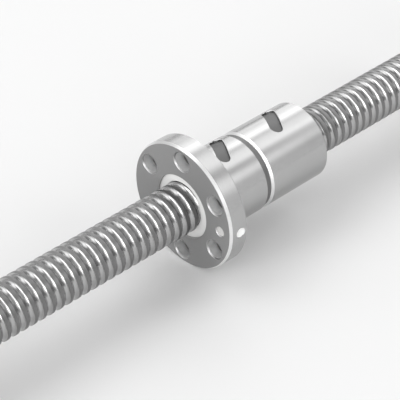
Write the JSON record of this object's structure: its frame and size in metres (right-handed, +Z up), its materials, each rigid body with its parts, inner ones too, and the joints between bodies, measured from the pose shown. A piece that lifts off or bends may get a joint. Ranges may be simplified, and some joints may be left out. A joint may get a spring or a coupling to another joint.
{
  "type": "ball screw",
  "caption": "Ball screw: a shaft with a pointed-arch helical raceway, a flanged nut preloaded against a rear nut, internal ball returns, and ball bearings on the turned ends.",
  "frame": {"origin": "centre of the bolt circle, on the screw's axis in the plane of the flange's mounting face", "axes": "+X along the screw from the drive end towards the floating end, out of the flange's mounting face; +Z up, through the first bolt hole"},
  "size_m": [0.4353, 0.066, 0.066],
  "materials": {
    "screw_steel": "hardened and ground, polished",
    "nut_steel": "ground, satin",
    "spacer_steel": "turned, dark",
    "pin_steel": "ground",
    "wiper_plastic": "white moulded plastic",
    "plug_plastic": "off-white moulded plastic",
    "deflector_steel": "sintered, satin",
    "ball_steel": "lapped",
    "bearing_steel": "ground",
    "cage_brass": "machined",
    "blackened_steel": "black oxide",
    "spring_steel": "phosphated"
  },
  "bodies": {
    "support_rings": {"fixed_inboard_outer_ring": "bearing_steel", "fixed_outboard_outer_ring": "bearing_steel", "floating_outer_ring": "bearing_steel"},
    "screw": {"screw_shaft": "screw_steel", "fixed_side_collar": "screw_steel", "floating_side_collar": "screw_steel", "lock_nut": "blackened_steel", "lock_nut_grub_screws": "blackened_steel", "circlip": "spring_steel", "fixed_inboard_inner_ring": "bearing_steel", "fixed_outboard_inner_ring": "bearing_steel", "floating_inner_ring": "bearing_steel"},
    "nut": {"flanged_nut": "nut_steel", "rear_nut": "nut_steel", "preload_spacer": "spacer_steel", "nut_dowels": "pin_steel", "front_wiper": "wiper_plastic", "rear_wiper": "wiper_plastic", "rim_port_plug": "plug_plastic", "face_port_plug": "plug_plastic", "deflector_front_1": "deflector_steel", "deflector_front_2": "deflector_steel", "deflector_rear_1": "deflector_steel", "deflector_rear_2": "deflector_steel", "ball_circuit_front_1": "ball_steel", "ball_circuit_front_2": "ball_steel", "ball_circuit_rear_1": "ball_steel", "ball_circuit_rear_2": "ball_steel"},
    "inboard_cage_set": {"fixed_inboard_balls": "ball_steel", "fixed_inboard_cage": "cage_brass"},
    "outboard_cage_set": {"fixed_outboard_balls": "ball_steel", "fixed_outboard_cage": "cage_brass"},
    "floating_cage_set": {"floating_balls": "ball_steel", "floating_cage": "cage_brass"}
  },
  "joints": [
    {"name": "screw_spin", "type": "hinge", "parent": "support_rings", "child": "screw", "pos_m": [0, 0, 0], "axis": [1, 0, 0], "range_deg": [-7200, 10080]},
    {"name": "nut_travel", "type": "slide", "parent": "support_rings", "child": "nut", "axis": [1, 0, 0], "range_m": [-0.14, 0.1]},
    {"name": "inboard_cage_spin", "type": "hinge", "parent": "support_rings", "child": "inboard_cage_set", "pos_m": [0, 0, 0], "axis": [1, 0, 0], "range_deg": [-2950, 4130]},
    {"name": "outboard_cage_spin", "type": "hinge", "parent": "support_rings", "child": "outboard_cage_set", "pos_m": [0, 0, 0], "axis": [1, 0, 0], "range_deg": [-2950, 4130]},
    {"name": "floating_cage_spin", "type": "hinge", "parent": "support_rings", "child": "floating_cage_set", "pos_m": [0, 0, 0], "axis": [1, 0, 0], "range_deg": [-2870, 4010]}
  ],
  "couplings": [
    {"joint": "nut_travel", "follows": "screw_spin", "m_per_rad": -0.00079577},
    {"joint": "inboard_cage_spin", "follows": "screw_spin", "ratio": 0.4092},
    {"joint": "outboard_cage_spin", "follows": "screw_spin", "ratio": 0.4092},
    {"joint": "floating_cage_spin", "follows": "screw_spin", "ratio": 0.3976}
  ]
}
